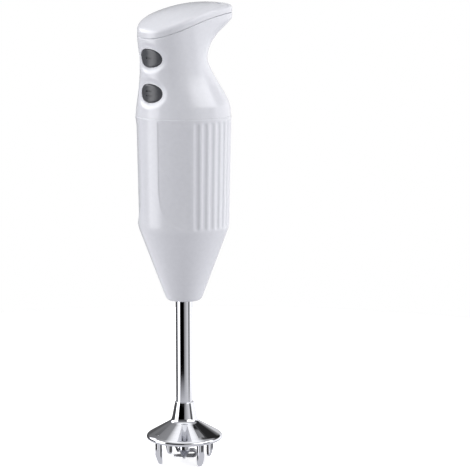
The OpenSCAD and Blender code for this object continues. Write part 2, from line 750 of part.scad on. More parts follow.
// the tool's hub stands on the blade plate; the drive pin lies in its notches
plate_under = 7.2;
hub_z = plate_under + blade_t;
hub_h = 13;
hub_end = hub_z + hub_h;
shaft_tip = hub_z + 1.8;
pin_r = 0.9;
pin_z = hub_end - 1.1;
module drive_shaft() {
    color(STEEL) difference() {
        translate([0, 0, shaft_tip]) cylinder(r = shaft_r, h = shaft_joint - slip_gap - shaft_tip);
        translate([-10, 0, pin_z]) rotate([0, 90, 0]) cylinder(r = pin_r, h = 20);
    }
}
module drive_pin() {
    color(STEEL) translate([-hub_r, 0, pin_z]) rotate([0, 90, 0])
        cylinder(r = pin_r, h = 2 * hub_r);
}

tube_foot = sleeve_top - 12.3;
tube_top = pad_z;
tube_in = tube_r - tube_wall;
module ring(z, h, outer, inner) {
    difference() {
        translate([0, 0, z]) cylinder(r = outer, h = h);
        translate([0, 0, z - 1]) cylinder(r = inner, h = h + 2);
    }
}
module upper_bush() { color(BRASS) ring(nose_z - 2, 8, tube_in, shaft_r + run_gap); }
module lower_bush() { color(BRASS) ring(sleeve_top + 4, 8, tube_in, shaft_r + run_gap); }
module shaft_seal() { color(BLACK) ring(tube_foot + 3, 6, tube_in, shaft_r + run_gap); }
module shaft_tube() { color(STEEL) ring(tube_foot, tube_top - tube_foot, tube_r, tube_in); }

flange_t = 4;
module tube_flange() {
    color(IRON) difference() {
        union() {
            ring(tube_top - flange_t, flange_t, pad_r, tube_r);
            ring(tube_top - flange_t - 5, 6, tube_r + 1.8, tube_r);
        }
        at_flange_screws(tube_top - flange_t - 1)
            cylinder(r = flange_screw_r + slip_gap, h = flange_t + 2);
    }
}
module flange_screws() {
    color(STEEL) at_flange_screws(tube_top - flange_t) {
        cylinder(r = flange_screw_r, h = flange_t + pad_t);
        translate([0, 0, -1.6]) cylinder(r = 1.7, h = 1.6);
    }
}
module nose_seal() { color(BLACK) ring(nose_z + 0.4, 3.3, nose_seal_r, tube_r); }

// ---------------------------------------------------------------- guard

sleeve_r = tube_r + 0.7;
sleeve_foot_r = tube_r + 3.3;
cone_start = guard_r - 17.5;
cone_rise = guard_h - 14.9;
rim_drop = 2.2;
shoulder_r = guard_r - 1.3;
shoulder_h = 3.7;
guard_slope = (cone_rise - shoulder_h) / (shoulder_r - cone_start);
function guard_outer(r) = foot_len + shoulder_h + (shoulder_r - r) * guard_slope;
under_drop = guard_wall * sqrt(1 + guard_slope * guard_slope);
function guard_under(r) = guard_outer(r) - under_drop;
lip_r = 4.6;
module foot() {
    inner = foot_r - foot_t / 2;
    outer = foot_r + foot_t / 2;
    mid = under_drop / 2;
    rotate([90, 0, 0]) translate([0, 0, -foot_w / 2]) linear_extrude(foot_w)
        polygon([[inner + 0.3, 0], [inner + 1.1, 0], [inner + 1.6, 0.5], [outer, 7],
            [outer, guard_outer(outer) - mid], [inner, guard_outer(inner) - mid],
            [inner, 0.5]]);
}
module guard_head() {
    color(STEEL) {
        rotate_extrude($fn = 120) polygon([
            [lip_r, guard_under(cone_start) + 0.2], [lip_r, tube_foot], [tube_r, tube_foot],
            [tube_r, sleeve_top], [sleeve_r, sleeve_top],
            [sleeve_foot_r, sleeve_top - 13.3], [sleeve_foot_r + 0.5, sleeve_top - 14.3],
            [cone_start, foot_len + cone_rise], [shoulder_r, foot_len + shoulder_h],
            [guard_r - 0.3, foot_len + shoulder_h - 0.8], [guard_r, foot_len + rim_drop],
            [guard_r, foot_len + 1], [guard_r - 0.9, foot_len], [guard_r - 2, foot_len],
            [guard_r - 2.4, guard_under(guard_r - 2.4)],
            [cone_start, guard_under(cone_start)]]);
        for (i = [0:3]) rotate([0, 0, foot_turn + i * 90]) foot();
    }
}

// ---------------------------------------------------------------- pull-off tool

module tool_hub() {
    notch = pin_z - (pin_r + slip_gap) * sqrt(2);
    color(STEEL) difference() {
        translate([0, 0, hub_z]) cylinder(r = hub_r, h = hub_h);
        translate([0, 0, hub_z + 1.3]) cylinder(r = shaft_r + run_gap, h = hub_h);
        translate([-10, 0, notch]) rotate([45, 0, 0]) cube([20, 10, 10]);
    }
}

// one leaf of the blade, from its root at X = 0 to its rounded tip
function leaf(length, w0, w1) = let (n = 9) concat(
    [for (i = [0:n]) let (t = i / n) [length * t, mix(w0, w1, t) / 2 * sqrt(1 - pow(t, 4) * 0.94)]],
    [for (i = [n:-1:0]) let (t = i / n)
        [length * t, -mix(w0, w1, t) / 2 * sqrt(1 - pow(t, 4) * 0.94)]]);
module arm(turn, root, rise, length, w0, w1) {
    rotate([0, 0, turn]) {
        translate([0, -w0 / 2, plate_under]) cube([root, w0, blade_t]);
        translate([root, 0, plate_under + blade_t / 2]) rotate([90, 0, 0])
            translate([0, 0, -w0 / 2]) cylinder(r = blade_t / 2, h = w0);
        translate([root, 0, plate_under + blade_t / 2]) rotate([0, -rise, 0])
            translate([0, 0, -blade_t / 2]) linear_extrude(blade_t) polygon(leaf(length, w0, w1));
    }
}
arm_root = hub_r + 0.9;
fold_turn = 47;
fold_w = 7.4;
fold_out = 6.4;
fold_drop = 4.2;
module tool_blade() {
    fold_r = fold_drop / 2;
    mid_z = plate_under + blade_t / 2 - fold_r;
    color(STEEL) {
        translate([0, 0, plate_under]) cylinder(r = hub_r + 0.8, h = blade_t);
        arm(fold_turn + 180, arm_root, 66, 12.5, 6.6, 2.2);
        arm(fold_turn + 90, arm_root, 22, blade_r - arm_root - 1, 6.6, 2);
        arm(fold_turn - 90, arm_root, -8, blade_r - arm_root, 6.6, 2);
        rotate([0, 0, fold_turn]) {
            translate([0, -fold_w / 2, plate_under]) cube([fold_out, fold_w, blade_t]);
            translate([fold_out, fold_w / 2, mid_z]) rotate([90, 0, 0]) difference() {
                cylinder(r = fold_r + blade_t / 2, h = fold_w);
                translate([0, 0, -1]) cylinder(r = fold_r - blade_t / 2, h = fold_w + 2);
                translate([-10, -10, -1]) cube([10, 20, fold_w + 2]);
            }
            translate([fold_out, 0, mid_z - fold_r - blade_t / 2]) rotate([0, 0, 180])
                linear_extrude(blade_t) polygon(leaf(14.4, fold_w, 3));
        }
    }
}

top_cover();
cover_screws();
grip_housing();
motor_housing();
speed_button(1);  // speed_button_1
speed_button(2);  // speed_button_2
switch_carrier();
microswitch(1);  // microswitch_1
microswitch(2);  // microswitch_2
switch_plunger(1);  // switch_plunger_1
switch_plunger(2);  // switch_plunger_2
circuit_board();
terminal_block();
suppression_capacitor();
speed_diode();
lead_wires();
cord_bushing();
clamp_saddle();
clamp_bar();
clamp_screws();
stator_core();
field_coils();
armature_core();
armature_windings();
commutator();
motor_shaft();
thrust_washers();
upper_bearing();
lower_bearing();
upper_bracket();
lower_bracket();
motor_screws();
brush_holder_left();
brush_holder_right();
carbon_brush_left();
carbon_brush_right();
brush_spring_left();
brush_spring_right();
upper_mount_ring();
lower_mount_ring();
shaft_coupling();
drive_shaft();
drive_pin();
upper_bush();
lower_bush();
shaft_seal();
tube_flange();
flange_screws();
shaft_tube();
nose_seal();
guard_head();
tool_hub();
tool_blade();
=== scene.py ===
"""Looks of an immersion blender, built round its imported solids.

Lengths in the shape code are millimetres in the shared frame: Z up, shaft axis at X = Y = 0,
floor at Z = 0, buttons towards -Y, horn towards +Y. They become metres when a mesh is made.
"""

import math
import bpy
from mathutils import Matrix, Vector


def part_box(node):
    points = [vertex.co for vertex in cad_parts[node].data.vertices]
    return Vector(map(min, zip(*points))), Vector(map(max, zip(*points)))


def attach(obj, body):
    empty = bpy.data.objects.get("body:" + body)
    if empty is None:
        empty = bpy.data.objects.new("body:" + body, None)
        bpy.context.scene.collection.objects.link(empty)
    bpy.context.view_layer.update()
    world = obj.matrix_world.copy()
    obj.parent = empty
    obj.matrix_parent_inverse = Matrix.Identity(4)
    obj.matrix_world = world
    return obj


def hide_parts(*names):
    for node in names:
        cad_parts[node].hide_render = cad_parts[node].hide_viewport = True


bl_info = {
    "name": "Immersion blender looks",
    "version": (1, 0, 0),
    "blender": (4, 5, 0),
    "location": "View3D > Sidebar > Hand Blender",
    "description": "Builds the outside of an immersion blender, its finishes and a small studio",
    "category": "Object",
}

import bmesh
import bpy
from mathutils import Matrix, Vector

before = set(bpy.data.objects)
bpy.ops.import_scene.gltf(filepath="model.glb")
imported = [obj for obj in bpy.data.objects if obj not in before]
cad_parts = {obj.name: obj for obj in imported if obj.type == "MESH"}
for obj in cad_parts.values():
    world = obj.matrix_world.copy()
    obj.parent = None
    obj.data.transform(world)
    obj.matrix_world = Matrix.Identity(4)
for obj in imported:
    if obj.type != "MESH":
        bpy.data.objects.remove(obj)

MM = 0.001


# ---------------------------------------------------------------- sizes of the solids underneath

def box_mm(node):
    """Lowest and highest corner of a solid, in millimetres."""
    low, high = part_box(node)
    return low / MM, high / MM


GRIP_BOX = box_mm("grip_housing")
BARREL_BOX = box_mm("motor_housing")
TUBE_BOX = box_mm("shaft_tube")
GUARD_BOX = box_mm("guard_head")

BODY_R = BARREL_BOX[1].x
BARREL_FOOT_R = BODY_R - 1.6
NOSE_Z = BARREL_BOX[0].z
SEAM_Z = GRIP_BOX[0].z
BREAK_Z = SEAM_Z - 80.9
CONE_Z = NOSE_Z + 3.2
CONE_FOOT_R = 13.6
WALL = 2.5
GRIP_H = 69.8
HEAD_Z = SEAM_Z + GRIP_H
GRIP_WALL = 2.2
HORN_REACH = GRIP_BOX[1].y
HORN_GROOVE = HORN_REACH - GRIP_WALL
HEAD_FRONT = -GRIP_BOX[0].y
HEAD_HALF_W = 25.0
NECK_HALF_W = 24.4
NECK_FRONT = 33.4
NECK_BACK = 14.5
SEAM_ARC_R = 160.0
SEAM_ARC_Y = 37.0
COVER_H = 9.5
SEAM_GAP = 0.35
COVER_INSET = 24.9
BUTTON_W = 22.0
BUTTON_H = 12.8
BUTTON_PITCH = 25.2
BUTTON_LOW = 18.1
BUTTON_GAP = 0.8
BUTTON_FACE_R = 22.0
BUTTON_FLANGE_BACK = 7.6
DISH_HALF_W = BUTTON_W / 2 + 6
DISH_HALF_H = BUTTON_PITCH / 2 - 0.6
DISH_EDGE = 0.36
SCREW_X = HEAD_HALF_W - 12.7
SCREW_Y = HORN_REACH - 18.5
SCREW_POST_R = 4.2
SCREW_HEAD_R = 2.7
SCREW_HOLE_R = 1.6
SCREW_BORE_R = 1.5
INLET_R = 3.75
INLET_GROOVE_R = 4.35
INLET_GROOVE_W = 1.7
TUBE_R = TUBE_BOX[1].x
GUARD_R = GUARD_BOX[1].x
SLEEVE_TOP = GUARD_BOX[1].z
GUARD_FALL = 9.5
GUARD_RUN = 16.2
GUARD_WALL = 1.5
SHAFT_BORE_R = 4.6
FOOT_LEN = 17.2
FOOT_INSIDE = 20.4
FOOT_OUTSIDE = 24.4
# turn to the right and tilt down in degrees, focal length in millimetres, and the place in
# metres: out from the shaft, to the right and up
CAMERA_TURN = 47.0
CAMERA_TILT = 9.03
CAMERA_LENS = 162.6
CAMERA_OUT = 1.540
CAMERA_RIGHT = 0.0376
CAMERA_UP = 0.415


# ---------------------------------------------------------------- what a user would change

class BlenderSizes(bpy.types.PropertyGroup):
    """Sizes of the fine shapes that the looks add."""

    flute_depth: bpy.props.FloatProperty(
        name="Flute depth", description="How deep the flutes round the back of the barrel are",
        default=0.7 * MM, min=0.2 * MM, max=1.2 * MM, unit="LENGTH")
    panel_depth: bpy.props.FloatProperty(
        name="Side panel depth", description="Step from the front strip down to the side panels",
        default=0.35 * MM, min=0.0, max=0.8 * MM, unit="LENGTH")
    dish_depth: bpy.props.FloatProperty(
        name="Dish depth", description="Depth of the smooth dish round a button",
        default=1.3 * MM, min=0.5 * MM, max=2.0 * MM, unit="LENGTH")
    seam_round: bpy.props.FloatProperty(
        name="Seam rounding", description="Rounding of the edges that meet at the cover seam",
        default=0.3 * MM, min=0.1 * MM, max=0.8 * MM, unit="LENGTH")
    mark_depth: bpy.props.FloatProperty(
        name="Button mark depth", description="Depth of the speed marks moulded in the buttons",
        default=0.8 * MM, min=0.1 * MM, max=1.0 * MM, unit="LENGTH")


class BlenderColours(bpy.types.PropertyGroup):
    """Colours of the outside finishes, as sRGB."""

    body: bpy.props.FloatVectorProperty(
        name="Body", description="Colour of the moulded body", subtype="COLOR_GAMMA",
        size=3, min=0, max=1, default=(0.902, 0.906, 0.925))
    button: bpy.props.FloatVectorProperty(
        name="Buttons", description="Colour of the two speed buttons", subtype="COLOR_GAMMA",
        size=3, min=0, max=1, default=(0.30, 0.305, 0.32))
    floor: bpy.props.FloatVectorProperty(
        name="Floor", description="Colour of the studio floor", subtype="COLOR_GAMMA",
        size=3, min=0, max=1, default=(0.96, 0.96, 0.965))


# ---------------------------------------------------------------- small maths

def mix(a, b, w):
    """The value a share w of the way from a to b."""
    return a + (b - a) * w


def smooth(v):
    """Eases from 0 to 1 while v goes from 0 to 1."""
    c = min(max(v, 0.0), 1.0)
    return c * c * (3 - 2 * c)


def power(v, e):
    """A power that keeps the sign."""
    return math.copysign(abs(v) ** e, v)


def curve_value(table, s, c):
    """Value of column c at s, on a smooth curve that never overshoots its rows."""
    last = len(table) - 1
    i = 0
    while i < last - 1 and s >= table[i + 1][0]:
        i += 1

    def after(k):
        return (table[k + 1][c] - table[k][c]) / (table[k + 1][0] - table[k][0])

    def slope(k):
        if k == 0:
            return after(0)
        if k == last:
            return after(last - 1)
        a, b = after(k - 1), after(k)
        return 0.0 if a * b <= 0 else 2 * a * b / (a + b)

    w = table[i + 1][0] - table[i][0]
    u = (s - table[i][0]) / w
    u2, u3 = u * u, u * u * u
    return ((2 * u3 - 3 * u2 + 1) * table[i][c] + (u3 - 2 * u2 + u) * w * slope(i)
            + (3 * u2 - 2 * u3) * table[i + 1][c] + (u3 - u2) * w * slope(i + 1))


def eased(points, closed=False, steps=5):
    """Points (u, v, ease) of a line, with each corner eased over that length."""
    out, n = [], len(points)
    for i, (u, v, ease) in enumerate(points):
        here = Vector((u, v))
        if ease == 0 or (not closed and i in (0, n - 1)):
            out.append(here)
            continue
        to_last = Vector(points[i - 1][:2]) - here
        to_next = Vector(points[(i + 1) % n][:2]) - here
        a = here + to_last.normalized() * min(ease, to_last.length * 0.49)
        b = here + to_next.normalized() * min(ease, to_next.length * 0.49)
        for k in range(steps + 1):
            t = k / steps
            out.append(a * (1 - t) ** 2 + here * 2 * t * (1 - t) + b * t * t)
    return out


# ---------------------------------------------------------------- meshes

def mesh_of(name, bm, sharp=35.0):
    """A smooth-shaded object from a bmesh in millimetres, with creases kept sharp."""
    bmesh.ops.recalc_face_normals(bm, faces=bm.faces)
    bmesh.ops.scale(bm, vec=Vector((MM, MM, MM)), verts=bm.verts)
    mesh = bpy.data.meshes.new(name)
    bm.to_mesh(mesh)
    bm.free()
    piece = bpy.data.objects.new(name, mesh)
    bpy.context.scene.collection.objects.link(piece)
    crease(piece, sharp)
    return piece


def crease(piece, sharp):
    """Shades a piece smooth, apart from edges sharper than the angle in degrees."""
    piece.data.polygons.foreach_set("use_smooth", [True] * len(piece.data.polygons))
    piece.data.set_sharp_from_angle(angle=math.radians(sharp))


def lofted(rings, loop=False):
    """A skin through rings of points. It is closed into a loop, or capped at both ends."""
    bm = bmesh.new()
    rows = [[bm.verts.new(p) for p in ring] for ring in rings]
    n = len(rows[0])
    pairs = list(zip(rows, rows[1:]))
    if loop:
        pairs.append((rows[-1], rows[0]))
    for a, b in pairs:
        for i in range(n):
            j = (i + 1) % n
            bm.faces.new((a[i], a[j], b[j], b[i]))
    if not loop:
        bm.faces.new(rows[0])
        bm.faces.new(rows[-1])
    return bm


def turned(profile, count, loop=True, place=None):
    """A turned shape from (radius, height) points, about Z or placed by a matrix."""
    rings = []
    for r, z in profile:
        ring = [Vector((r * math.cos(t), r * math.sin(t), z))
                for t in (2 * math.pi * k / count for k in range(count))]
        rings.append([place @ p for p in ring] if place else ring)
    return lofted(rings, loop)


def along_y(z):
    """Places a turned shape with its axis along +Y, at the height given."""
    return Matrix.Translation((0, 0, z)) @ Matrix.Rotation(math.radians(-90), 4, "X")


def cut(piece, tool, how="DIFFERENCE"):
    """Cuts tool out of piece, or joins it on, and removes the tool."""
    modifier = piece.modifiers.new("cut", "BOOLEAN")
    modifier.operation = how
    modifier.solver = "EXACT"
    modifier.object = tool
    bpy.context.view_layer.update()
    result = bpy.data.meshes.new_from_object(
        piece.evaluated_get(bpy.context.evaluated_depsgraph_get()))
    piece.modifiers.clear()
    piece.data = result
    bpy.data.objects.remove(tool)
    if not len(result.polygons):
        raise RuntimeError(f"{piece.name} came back empty from a cut")


def dress(piece, body, nodes, finish, sharp=35.0):
    """Gives a piece its finish, its body and the solids it stands for."""
    piece.data.materials.clear()
    piece.data.materials.append(finish)
    crease(piece, sharp)
    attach(piece, body)
    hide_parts(*nodes)


# ---------------------------------------------------------------- finishes

def srgb(colour):
    """Three sRGB numbers, from a hex value or as they are."""
    if isinstance(colour, str):
        return [int(colour[i:i + 2], 16) / 255 for i in (1, 3, 5)]
    return list(colour)


def linear(colour):
    """Linear RGBA from an sRGB hex value or from three sRGB numbers."""
    return [c / 12.92 if c <= 0.04045 else ((c + 0.055) / 1.055) ** 2.4
            for c in srgb(colour)] + [1.0]


def add(tree, kind, settings=None, links=None):
    """Adds a node, sets its sockets or properties by name, and links its inputs."""
    node = tree.nodes.new(kind)
    for key, value in (settings or {}).items():
        if isinstance(key, int) or key in node.inputs:
            node.inputs[key].default_value = value
        else:
            setattr(node, key, value)
    for key, source in (links or {}).items():
        tree.links.new(source, node.inputs[key])
    return node


def shade(colour, by):
    """The same sRGB colour, lighter or darker by a share."""
    return [min(max(c * (1 + by), 0.0), 1.0) for c in srgb(colour)]


def surface(name, colour, rough, metallic=0.0, ior=1.5, coat=0.0, grain=1.0, stretch=(1, 1, 1),
            tone=0.03, relief=0.0, bands=False, rough_swing=0.04):
    """A finish whose tone, roughness and relief follow one pattern of the given grain in mm."""
    material = bpy.data.materials.new(name)
    material.use_nodes = True
    tree = material.node_tree
    tree.nodes.clear()
    settings = {"Metallic": metallic, "Coat Weight": coat, "Coat Roughness": 0.08}
    if not metallic:
        settings["IOR"] = ior
    place = add(tree, "ShaderNodeTexCoord")
    lay = add(tree, "ShaderNodeMapping", {"Scale": stretch}, {"Vector": place.outputs["Object"]})
    if bands:
        # a wave of scale 1 repeats every pi / 10
        kind = "ShaderNodeTexWave"
        pattern = {"wave_type": "BANDS", "bands_direction": bands,
                   "Scale": math.pi / 10 / (grain * MM),
                   "Distortion": 0.6, "Detail": 2.0, "Detail Scale": 2.0}
    else:
        kind = "ShaderNodeTexNoise"
        pattern = {"Scale": 1 / (grain * MM), "Detail": 4.0, "Roughness": 0.55}
    value = add(tree, kind, pattern, {"Vector": lay.outputs["Vector"]}).outputs["Fac"]
    tones = add(tree, "ShaderNodeValToRGB", {}, {"Fac": value})
    for stop, at, by in zip(tones.color_ramp.elements, (0.3, 0.7), (-tone, tone)):
        stop.position = at
        stop.color = linear(shade(colour, by))
    roughness = add(tree, "ShaderNodeMapRange",
                    {"From Min": 0.3, "From Max": 0.7, "To Min": max(rough - rough_swing, 0.02),
                     "To Max": rough + rough_swing}, {"Value": value})
    links = {"Base Color": tones.outputs["Color"], "Roughness": roughness.outputs["Result"]}
    if relief:
        bump = add(tree, "ShaderNodeBump", {"Strength": 0.6, "Distance": relief * MM},
                   {"Height": value})
        links["Normal"] = bump.outputs["Normal"]
    shader = add(tree, "ShaderNodeBsdfPrincipled", settings, links)
    add(tree, "ShaderNodeOutputMaterial", {}, {"Surface": shader.outputs["BSDF"]})
    return material


def make_finishes(colours):
    """Every finish of the blender, from what the real material is and how it was made."""
    return {
        # glossy ABS, injection moulded in a polished tool: clean highlights on a cool white,
        # with a trace of orange peel of about 3 mm
        "moulded_abs": surface("moulded_abs", colours.body, 0.2, ior=1.54, grain=3.0, tone=0.008,
                               relief=0.004, rough_swing=0.03),
        # glass-filled nylon, moulded in a finely eroded tool: satin dark grey, 0.3 mm grain
        "satin_nylon": surface("satin_nylon", colours.button, 0.3, ior=1.53, grain=0.3, tone=0.05,
                               relief=0.006, rough_swing=0.05),
        # stainless steel, turned and buffed to a mirror: faint rings 0.4 mm apart
        "buffed_stainless": surface("buffed_stainless", "#dfe0e4", 0.05, metallic=1.0, grain=0.4,
                                    stretch=(0.02, 0.02, 1), tone=0.012, relief=0.0008,
                                    rough_swing=0.02),
        # hardened strip steel, ground flat: fine scratches of 0.2 mm, softer highlights
        "ground_strip_steel": surface("ground_strip_steel", "#b4b5ba", 0.26, metallic=1.0,
                                      grain=0.25, stretch=(1, 0.08, 1), tone=0.06, relief=0.003,
                                      rough_swing=0.08),
        # carbon steel, ground bright: shafts, pins and springs, rings of 0.3 mm
        "bright_ground_steel": surface("bright_ground_steel", "#c6c7cb", 0.18, metallic=1.0,
                                       grain=0.3, stretch=(0.05, 0.05, 1), tone=0.04,
                                       relief=0.002, rough_swing=0.06),
        # zinc-plated screws, barrel plated: even satin with a bluish cast, mottled at 0.8 mm
        "zinc_plate": surface("zinc_plate", "#b9bec6", 0.3, metallic=1.0, grain=0.8, tone=0.06,
                              relief=0.002, rough_swing=0.08),
        # aluminium, die cast and left raw: grey skin with soft 1.5 mm mottling
        "die_cast_aluminium": surface("die_cast_aluminium", "#a9abad", 0.45, metallic=1.0,
                                      grain=1.5, tone=0.07, relief=0.02, rough_swing=0.1),
        # silicon steel sheets, stamped and stacked: edges of 0.5 mm sheets, drawn 1 mm apart
        "stacked_sheet_steel": surface("stacked_sheet_steel", "#77797d", 0.42, metallic=1.0,
                                       grain=1.0, bands="Z", tone=0.22, relief=0.05,
                                       rough_swing=0.1),
        # copper wire, enamelled and wound: amber-red turns 0.6 mm thick, drawn 0.8 mm apart
        "wound_enamel_copper": surface("wound_enamel_copper", "#a4512c", 0.3, metallic=0.85,
                                       coat=0.6, grain=0.8, bands="X", tone=0.25, relief=0.12,
                                       rough_swing=0.08),
        # copper bars, turned: rings of 0.3 mm on bright red metal
        "turned_copper": surface("turned_copper", "#c07a55", 0.25, metallic=1.0, grain=0.3,
                                 stretch=(0.05, 0.05, 1), tone=0.08, relief=0.004,
                                 rough_swing=0.08),
        # bronze, pressed from powder and sintered: dull and pored at 0.3 mm
        "sintered_bronze": surface("sintered_bronze", "#a9824c", 0.5, metallic=1.0, grain=0.3,
                                   tone=0.12, relief=0.02, rough_swing=0.12),
        # brass sheet, folded: rolled lines of 0.4 mm along the strip
        "rolled_brass": surface("rolled_brass", "#c8a24f", 0.3, metallic=1.0, grain=0.4,
                                stretch=(0.1, 1, 1), tone=0.06, relief=0.003, rough_swing=0.08),
        # nitrile rubber, moulded: matt black with a 0.5 mm bloom
        "moulded_nitrile": surface("moulded_nitrile", "#1d1d1f", 0.62, ior=1.52, grain=0.5,
                                   tone=0.12, relief=0.01, rough_swing=0.1),
        # phenolic, compression moulded: dense near-black, slight gloss, 0.8 mm flow marks
        "pressed_phenolic": surface("pressed_phenolic", "#232326", 0.35, ior=1.6, grain=0.8,
                                    tone=0.12, relief=0.006, rough_swing=0.08),
        # nylon, moulded in its own milky colour, 1 mm sink marks
        "natural_nylon": surface("natural_nylon", "#d9d6c8", 0.42, ior=1.53, grain=1.0,
                                 tone=0.03, relief=0.008, rough_swing=0.08),
        # nylon, moulded in mid grey, 1 mm sink marks
        "grey_nylon": surface("grey_nylon", "#7b7d80", 0.42, ior=1.53, grain=1.0, tone=0.04,
                              relief=0.008, rough_swing=0.08),
        # glass-epoxy laminate, pressed: green varnish over a 0.5 mm weave, drawn at 1 mm
        "glass_epoxy_board": surface("glass_epoxy_board", "#2f6b45", 0.3, ior=1.55, coat=0.4,
                                     grain=1.0, bands="X", tone=0.12, relief=0.01,
                                     rough_swing=0.06),
        # polyester-cased film capacitor, dipped: warm yellow, glossy, 1.2 mm ripple
        "dipped_polyester": surface("dipped_polyester", "#d2a73a", 0.25, ior=1.57, coat=0.3,
                                    grain=1.2, tone=0.05, relief=0.02, rough_swing=0.06),
        # graphite brush, pressed and sawn: matt grey-black with 0.2 mm flakes
        "pressed_graphite": surface("pressed_graphite", "#2b2c2f", 0.55, ior=1.8, grain=0.2,
                                    tone=0.25, relief=0.01, rough_swing=0.15),
        # PVC wire sheath, extruded: slightly glossy red-brown, drawn lines of 0.3 mm
        "extruded_pvc": surface("extruded_pvc", "#8e2f24", 0.35, ior=1.54, grain=0.3,
                                stretch=(1, 1, 0.1), tone=0.05, relief=0.004, rough_swing=0.06),
    }


# finish of each solid that shows as it is
SOLID_FINISH = {
    "cover_screws": "zinc_plate", "clamp_screws": "zinc_plate", "motor_screws": "zinc_plate",
    "flange_screws": "zinc_plate", "switch_carrier": "grey_nylon",
    "microswitch_1": "pressed_phenolic", "microswitch_2": "pressed_phenolic",
    "switch_plunger_1": "pressed_phenolic", "switch_plunger_2": "pressed_phenolic",
    "circuit_board": "glass_epoxy_board", "terminal_block": "natural_nylon",
    "suppression_capacitor": "dipped_polyester", "speed_diode": "pressed_phenolic",
    "lead_wires": "extruded_pvc", "clamp_saddle": "natural_nylon", "clamp_bar": "natural_nylon",
    "stator_core": "stacked_sheet_steel", "armature_core": "stacked_sheet_steel",
    "field_coils": "wound_enamel_copper", "armature_windings": "wound_enamel_copper",
    "commutator": "turned_copper", "motor_shaft": "bright_ground_steel",
    "thrust_washers": "bright_ground_steel", "upper_bearing": "sintered_bronze",
    "lower_bearing": "sintered_bronze", "upper_bracket": "die_cast_aluminium",
    "lower_bracket": "die_cast_aluminium", "brush_holder_left": "rolled_brass",
    "brush_holder_right": "rolled_brass", "carbon_brush_left": "pressed_graphite",
    "carbon_brush_right": "pressed_graphite", "brush_spring_left": "bright_ground_steel",
    "brush_spring_right": "bright_ground_steel", "upper_mount_ring": "moulded_nitrile",
    "lower_mount_ring": "moulded_nitrile", "shaft_coupling": "grey_nylon",
    "drive_shaft": "bright_ground_steel", "drive_pin": "bright_ground_steel",
    "upper_bush": "sintered_bronze", "lower_bush": "sintered_bronze",
    "shaft_seal": "moulded_nitrile", "tube_flange": "die_cast_aluminium",
    "nose_seal": "moulded_nitrile", "tool_hub": "buffed_stainless",
    "tool_blade": "ground_strip_steel",
}


def finish_named(name):
    """A finish made by the finishes operator."""
    found = bpy.data.materials.get(name)
    if found is None:
        raise RuntimeError(f"finish {name} isn't made yet")
    return found


# ---------------------------------------------------------------- shape of the grip and cover

# share of the height, half width, front, back, centre, squareness in front and behind
GRIP = [
    (0.000, BODY_R, BODY_R, BODY_R, 0, 2, 2),
    (0.109, mix(BODY_R, NECK_HALF_W, 0.07), mix(BODY_R, NECK_FRONT, 0.6),
     mix(BODY_R, NECK_BACK, 0.035), -0.3, 2, 2),
    (0.223, mix(BODY_R, NECK_HALF_W, 0.34), NECK_FRONT, mix(BODY_R, NECK_BACK, 0.195),
     -2.5, 2, 2),
    (0.352, mix(BODY_R, NECK_HALF_W, 0.65), NECK_FRONT, mix(BODY_R, NECK_BACK, 0.5),
     -5, 2, 2),
    (0.481, mix(BODY_R, NECK_HALF_W, 0.86), NECK_FRONT, mix(BODY_R, NECK_BACK, 0.82),
     -7, 2, 2),
    (0.596, mix(BODY_R, NECK_HALF_W, 0.96), NECK_FRONT, NECK_BACK, -8, 2.05, 2),
    (0.711, NECK_HALF_W, mix(NECK_FRONT, HEAD_FRONT, 0.28), mix(NECK_BACK, HORN_REACH, 0.13),
     -8, 2.05, 2.05),
    (0.811, mix(NECK_HALF_W, HEAD_HALF_W, 0.1), mix(NECK_FRONT, HEAD_FRONT, 0.67),
     mix(NECK_BACK, HORN_REACH, 0.45), -8, 2.1, 2.15),
    (0.897, mix(NECK_HALF_W, HEAD_HALF_W, 0.4), mix(NECK_FRONT, HEAD_FRONT, 0.9),
     mix(NECK_BACK, HORN_REACH, 0.85), -8, 2.15, 2.3),
    (0.954, mix(NECK_HALF_W, HEAD_HALF_W, 0.85), HEAD_FRONT, HORN_REACH, -8, 2.2, 2.4),
    (1.000, HEAD_HALF_W, HEAD_FRONT, HORN_REACH, -8, 2.2, 2.4),
]
GRIP_CENTRE = -8.0
# height of the cover above its seam, and how far in from its edge
COVER = [(SEAM_GAP, 0), (3.6, 0), (4.9, 0.35), (5.8, 1.0), (6.5, 2.2), (7.0, 3.8), (7.6, 6.3),
         (8.3, 10), (8.9, 14), (9.3, 18), (9.5, 22)]


def seam_rise(y):
    """Height of the cover seam above its height on the axis."""
    return (math.sqrt(SEAM_ARC_R ** 2 - (y - SEAM_ARC_Y) ** 2)
            - math.sqrt(SEAM_ARC_R ** 2 - SEAM_ARC_Y ** 2))


def button_z(i):
    """Height of the middle of a button. Button 1 is the upper one."""
    return SEAM_Z + BUTTON_LOW + (BUTTON_PITCH if i == 1 else 0)


def dish(x, z, depth):
    """How far the front is pressed in by the dishes round the buttons."""
    def one(zc):
        reach = math.hypot(x / DISH_HALF_W, (z - zc) / DISH_HALF_H)
        return depth * smooth((1 - reach) / DISH_EDGE)
    return max(one(button_z(1)), one(button_z(2)))


def section(s):
    """The row of the grip's table at a share of its height."""
    return [curve_value(GRIP, s, c) for c in range(1, 7)]


def outline(row, angle, inset):
    """Point of a section at an angle, moved in from its edge."""
    half_w, front, back, centre, square_f, square_b = row
    c, d = math.cos(angle), math.sin(angle)
    e = 2 / (square_b if d > 0 else square_f)
    reach = back - centre if d > 0 else front + centre
    return (half_w - inset) * power(c, e), centre + (reach - inset) * power(d, e)


def grip_angles(count):
    """Angles round a section, closer together in front."""
    return [t - 0.3 * math.cos(t) for t in (2 * math.pi * k / count for k in range(count))]


